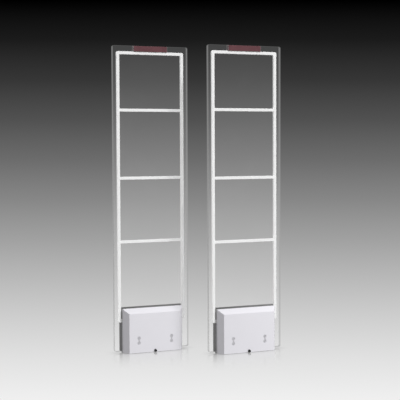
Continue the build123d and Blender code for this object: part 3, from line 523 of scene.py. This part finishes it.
def trace(piece, start, out, along, rng, face, low, high):
    """A copper track that leaves a leg, bends at 45 degrees and ends in a via."""
    lead, slip, run = rng.uniform(*TRACE_OUT), rng.uniform(*TRACE_OUT), rng.uniform(*TRACE_RUN)
    turn = rng.choice((-1, 1)) * along
    path = [start, start + out * lead, start + out * (lead + slip) + turn * slip]
    path.append(path[-1] + (out if rng.random() < 0.5 else turn) * run)
    path = [Vector((min(max(p.x, low.x), high.x), 0, min(max(p.z, low.z), high.z))) for p in path]
    rise = Vector((0, face - TRACE_RISE * rng.uniform(TRACE_LEAST_RISE, 1.0), 0))
    for a, b in zip(path, path[1:]):
        if (b - a).length < TRACE_WIDTH:
            continue
        ahead = (b - a).normalized() * TRACE_WIDTH / 2
        beside = Vector((-ahead.z, 0, ahead.x))
        corners = [a - ahead + beside, b + ahead + beside, b + ahead - beside, a - ahead - beside]
        piece.prism([corner + rise for corner in corners], Vector((0, TRACE_RISE, 0)))
    return path[-1]


def stuff_board(side, chips, rng):
    """Legs, tracks, vias and chip resistors of one main board."""
    low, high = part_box(f"{side}_main_board")
    face = low.y
    inner_low, inner_high = low + Vector((1, 0, 1)) * BOARD_MARGIN, high - Vector((1, 0, 1)) * BOARD_MARGIN
    legs, tracks, pads = Piece(), Piece(), Piece()
    for chip_low, chip_high in chips:
        depth = chip_high.y - chip_low.y
        if depth > CHIP_DEPTH:
            continue
        centre = (chip_low + chip_high) / 2
        size = chip_high - chip_low
        for out in (Vector((1, 0, 0)), Vector((-1, 0, 0)), Vector((0, 0, 1)), Vector((0, 0, -1))):
            along = Vector((abs(out.z), 0, abs(out.x)))
            span, reach = abs(along.dot(size)), abs(out.dot(size)) / 2
            if span < max(size.x, size.z) - CHIP_SLACK:
                continue
            count = int((span - LEG_PITCH) / LEG_PITCH)
            for i in range(count):
                root = centre + out * reach + along * (i - (count - 1) / 2) * LEG_PITCH
                chip_leg(legs, root, out, face, depth)
                end = trace(tracks, root + out * LEG_REACH[2], out, along, rng, face, inner_low, inner_high)
                if i % 2 == 0:
                    via = Vector((end.x, face - TRACE_RISE * 1.5, end.z))
                    pads.rod(via, VIA_RADIUS, TRACE_RISE * 2, TRACE_RISE / 2, VIA_SEGMENTS)
    legs.finish(f"{side}_chip_legs", "root", "tinned", "zinc_steel")
    tracks.finish(f"{side}_board_tracks", "root", "copper_trace", "board_green")
    pads.finish(f"{side}_board_vias", "root", "tinned", "zinc_steel")
    small_parts(side, low, high, rng)


SMALL_PART = Vector((2.0, 0.6, 1.25)) * MM
SMALL_CAP = 0.4 * MM  # length of a chip part's tinned ends
SMALL_COUNT = 34
SMALL_ROUND = 0.08 * MM
SMALL_SKIN = 0.03 * MM  # how far the tinned ends stand proud
SMALL_CLEAR = 2.2 * MM  # from a small part's middle to what else is on the board
SMALL_MARGIN = 5.0 * MM
SMALL_TOP_MARGIN = 18.0 * MM


def small_parts(side, low, high, rng):
    """Chip resistors and capacitors in the free places of one main board."""
    taken = [box for node in ("board_chips", "capacitors", "board_screws") for box in LUMPS[node]]
    taken += [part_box(f"{side}_{node}") for node in ("terminal_block", "sensitivity_dial", "volume_dial")]
    ends, resistors, capacitors = Piece(), Piece(), Piece()
    placed = 0
    while placed < SMALL_COUNT:
        upright = rng.random() < 0.5
        half = (SMALL_PART.zyx if upright else SMALL_PART) / 2
        across = rng.uniform(low.x + SMALL_MARGIN, high.x - SMALL_MARGIN)
        upward = rng.uniform(low.z + SMALL_MARGIN, high.z - SMALL_TOP_MARGIN)
        spot = Vector((across, low.y - half.y, upward))
        if any(
            a.x - SMALL_CLEAR < spot.x < b.x + SMALL_CLEAR and a.z - SMALL_CLEAR < spot.z < b.z + SMALL_CLEAR
            for a, b in taken
        ):
            continue
        taken.append((spot - half, spot + half))
        placed += 1
        (resistors if placed % 2 else capacitors).block(spot - half, spot + half, SMALL_ROUND)
        axis = Vector((0, 0, 1)) if upright else Vector((1, 0, 0))
        skin = half + Vector((1, 1, 1)) * SMALL_SKIN
        for way in (-1, 1):
            middle = spot + axis * way * (half.dot(axis) - SMALL_CAP / 2)
            cap = skin - axis * (skin.dot(axis) - SMALL_CAP / 2)
            ends.block(middle - cap, middle + cap, SMALL_ROUND)
    ends.finish(f"{side}_chip_part_ends", "root", "tinned", "zinc_steel")
    resistors.finish(f"{side}_chip_resistors", "root", "resistor_black", "black_plastic")
    capacitors.finish(f"{side}_chip_capacitors", "root", "capacitor_tan", "brass")


TERMINAL_PITCH = 12.0 * MM
TERMINAL_WAYS = 7
SCREW_DROP = 1.0 * MM  # from the block's middle height down to its screws
SCREW_SLOT = 0.35 * MM  # half the slot's width
SCREW_RADIUS = 2.35 * MM
SCREW_SHEET = 0.6 * MM  # thickness of the disc and of each half disc
SCREW_SUNK = 0.35 * MM  # from the block's front back to the half discs
DISC_SUNK = 0.9 * MM  # and to the disc, which is the slot's floor
DISC_ROUND = 0.1 * MM
ARC_STEPS = 12


def terminal_screws(side):
    """Slotted screws in the terminal block's round pockets: two half discs on a lower disc."""
    low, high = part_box(f"{side}_terminal_block")
    middle = (low + high) / 2
    piece = Piece()
    for way in range(TERMINAL_WAYS):
        across = middle.x + (way - (TERMINAL_WAYS - 1) / 2) * TERMINAL_PITCH
        spot = Vector((across, low.y, middle.z - SCREW_DROP))
        piece.rod(spot + Vector((0, DISC_SUNK, 0)), SCREW_RADIUS, SCREW_SHEET, DISC_ROUND)
        reach = math.acos(SCREW_SLOT / SCREW_RADIUS)
        for half in (-1, 1):
            arc = [half * reach * (2 * i / ARC_STEPS - 1) for i in range(ARC_STEPS + 1)]
            outline = [
                spot + Vector((half * SCREW_RADIUS * math.cos(a), SCREW_SUNK, SCREW_RADIUS * math.sin(a)))
                for a in arc
            ]
            piece.prism(outline, Vector((0, SCREW_SHEET, 0)))
    piece.finish(f"{side}_terminal_screws", "root", "tinned", "zinc_steel")


SLEEVE_START = 0.5 * MM  # how much of the can's end stays bare
SLEEVE_SKIN = 0.15 * MM
SLEEVE_ROUND = 0.12 * MM
SLEEVE_SEGMENTS = 36


def capacitor_sleeves():
    """A thin sleeve round every can, which leaves the can's end bare."""
    piece = Piece()
    for low, high in LUMPS["capacitors"]:
        centre = (low + high) / 2
        front = Vector((centre.x, low.y + SLEEVE_START, centre.z))
        radius = (high.x - low.x) / 2 + SLEEVE_SKIN
        piece.rod(front, radius, high.y - front.y, SLEEVE_ROUND, SLEEVE_SEGMENTS)
    piece.finish("capacitor_sleeves", "root", "capacitor_sleeve", "black_plastic")


POINTER_HALF = 0.55 * MM  # half its width
POINTER_FRONT = 0.25 * MM  # from the dial's front back to the paint's front and back
POINTER_BACK = 0.95 * MM
POINTER_START = 0.15 * MM  # from the dial's middle, upwards
POINTER_END = 0.9 * MM  # short of the dial's rim
POINTER_ROUND = 0.06 * MM


def dial_pointer(side, dial):
    """White paint that fills the pointer groove of a dial."""
    low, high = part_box(f"{side}_{dial}")
    middle = (low + high) / 2
    piece = Piece()
    piece.block(
        Vector((middle.x - POINTER_HALF, low.y + POINTER_FRONT, middle.z + POINTER_START)),
        Vector((middle.x + POINTER_HALF, low.y + POINTER_BACK, high.z - POINTER_END)),
        POINTER_ROUND,
    )
    piece.finish(f"{side}_{dial}_pointer", f"{side}_{dial}", "pointer_white", "white_screw")


for side in SIDES:
    plate_low, plate_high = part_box(f"{side}_main_board")
    own = [(a, b) for a, b in LUMPS["board_chips"] if plate_low.x < a.x < plate_high.x]
    stuff_board(side, own, random.Random(side))
    terminal_screws(side)
    for dial in ("sensitivity_dial", "volume_dial"):
        dial_pointer(side, dial)
capacitor_sleeves()

# --- stage -------------------------------------------------------------------------------------
# Heights in the picture run from 0 at its foot to 1 at its top, and tones from black, 0, to white, 1.
GROUND_FALL = 1.06  # how fast the ground darkens up the picture
GROUND_DIM = 0.12  # how much darker than that straight fall the foot of the picture is
GROUND_DIM_TOP = 0.6  # height where the straight fall starts
GROUND_STEPS = 10
AMBIENT = 0.37
STEEP = (0.3, 0.6)  # slopes between which the floor turns from the graded ground to a pale tone
PALE = 0.74


def ground_level(height):
    """The ground's light at a height in the picture: near white at the foot, black at the top."""
    dim = GROUND_DIM * max(0.0, 1 - height / GROUND_DIM_TOP) ** 3
    return display_grey(GROUND_FALL * (1 - height) - dim)


def ground_tone(s):
    """The graded ground behind everything, by where the point is in the picture."""
    height = s.axes(s.add("TexCoord").outputs["Window"])["Y"]
    places = [step / GROUND_STEPS for step in range(GROUND_STEPS + 1)]
    return s.ramp(height, [(place, ground_level(place)) for place in places])


def studio_world():
    """The graded ground for the camera, a soft reflection for gloss and even light for the rest."""
    s = Shader(bpy.data.worlds.new("studio"))
    slope = s.axes(s.add("TexCoord").outputs["Generated"])["Z"]
    mirrored = s.add("Background", {"Color": studio_reflection(s, slope)}).outputs[0]
    ambient = s.add("Background", {"Color": grey(AMBIENT)}).outputs[0]
    seen = s.add("Background", {"Color": ground_tone(s)}).outputs[0]
    unseen = s.mix(s.ray("Is Glossy Ray"), ambient, mirrored)
    bpy.context.scene.world = s.finish(s.mix(s.ray("Is Camera Ray"), unseen, seen))


FLOOR_SHINE = 1.5  # how fast the floor's reflection grows as more of the sky is hidden
MOST_SHINE = 0.45
FLOOR_ROUGH = 0.14
FLOOR_REACH = 30.0
SHINE_REACH = 0.42  # how far from a standing piece the floor still mirrors it
CONTACT_REACH = 0.05  # how far from a standing piece the floor has its painted contact shadow
CONTACT_BLACK = -0.8  # openness to the sky at which the floor's painted contact shadow would be black; 0 is fully covered
HIDDEN_SAMPLES = 8


def floor_material():
    """A floor in the ground's tone from the front and pale from above, with a painted contact shadow and a
    glossy reflection near pieces.
    """
    s = material("studio_floor")
    steep = s.math("ABSOLUTE", s.axes(s.add("NewGeometry").outputs["Incoming"])["Z"])
    tone = s.blend(s.between(steep, *STEEP), ground_tone(s), grey(PALE))
    # painted contact shadow: the floor's glow dims where pieces hide the sky
    contact_shadow = s.add("AmbientOcclusion", {"Distance": CONTACT_REACH}, samples=HIDDEN_SAMPLES).outputs["AO"]
    lit = s.glow(tone, s.between(contact_shadow, CONTACT_BLACK, 1.0))
    shine = s.add("BsdfGlossy", {"Color": grey(1.0), "Roughness": FLOOR_ROUGH}).outputs[0]
    open_sky = s.add("AmbientOcclusion", {"Distance": SHINE_REACH}, samples=HIDDEN_SAMPLES).outputs["AO"]
    near = s.math("MULTIPLY", s.math("SUBTRACT", 1.0, open_sky), FLOOR_SHINE)
    surface = s.mix(s.math("MINIMUM", near, MOST_SHINE), lit, shine)
    return s.finish(s.mix(s.ray("Is Camera Ray"), s.clear(), surface))


def studio_floor():
    """A wide flat floor, which isn't part of the object."""
    mesh = bpy.data.meshes.new("studio_floor")
    grid = bmesh.new()
    bmesh.ops.create_grid(grid, x_segments=1, y_segments=1, size=FLOOR_REACH)
    grid.to_mesh(mesh)
    grid.free()
    floor = bpy.data.objects.new("studio_floor", mesh)
    mesh.materials.append(floor_material())
    bpy.context.scene.collection.objects.link(floor)


LIT_POINT = Vector((0, 0, 0.7))
LIGHT_DISTANCE = 20.0
LIGHT_SIZE = 6.25
KEY_FROM = (0.305, -0.692, 0.655)
KEY_POWER = 3700.0  # watts
REAR_FROM = (-0.30, 0.75, 0.45)
REAR_POWER = 1500.0


def area_light(name, direction, power):
    """A soft square light in that direction, which doesn't show in glossy surfaces."""
    data = bpy.data.lights.new(name, "AREA")
    data.energy = power
    data.size = LIGHT_SIZE
    lamp = bpy.data.objects.new(name, data)
    toward = Vector(direction).normalized()
    lamp.location = LIT_POINT + LIGHT_DISTANCE * toward
    lamp.rotation_euler = toward.to_track_quat("Z", "Y").to_euler()
    lamp.visible_glossy = False
    bpy.context.scene.collection.objects.link(lamp)


studio_world()
studio_floor()
area_light("key", KEY_FROM, KEY_POWER)
area_light("rear", REAR_FROM, REAR_POWER)

# --- camera ------------------------------------------------------------------------------------
CAMERA_YAW = 24.17  # degrees round to the left of straight ahead
CAMERA_PITCH = 2.86  # degrees down
CAMERA_ROLL = -0.22
CAMERA_DISTANCE = 5.826  # metres, as are the two below
CAMERA_HEIGHT = 1.067
CAMERA_SHIFT = 0.0137  # to the right
CAMERA_LENS = 102.514  # millimetres


def studio_camera():
    """The camera, in front and to the left, at about two thirds of the panels' height."""
    yaw, pitch, roll = (math.radians(v) for v in (CAMERA_YAW, CAMERA_PITCH, CAMERA_ROLL))
    up = Vector((0, 0, 1))
    ahead = Vector((math.sin(yaw), math.cos(yaw), 0))
    across = ahead.cross(up)
    data = bpy.data.cameras.new("camera")
    data.lens = CAMERA_LENS
    camera = bpy.data.objects.new("camera", data)
    bpy.context.scene.collection.objects.link(camera)
    sight = ahead * math.cos(pitch) - up * math.sin(pitch)
    above = ahead * math.sin(pitch) + up * math.cos(pitch)
    right = across * math.cos(roll) + above * math.sin(roll)
    turn = Matrix((right, right.cross(sight), -sight)).transposed()
    place = CAMERA_SHIFT * across - CAMERA_DISTANCE * ahead + CAMERA_HEIGHT * up
    camera.matrix_world = Matrix.Translation(place) @ turn.to_4x4()
    bpy.context.scene.camera = camera


studio_camera()
bpy.context.scene.view_settings.view_transform = "Standard"
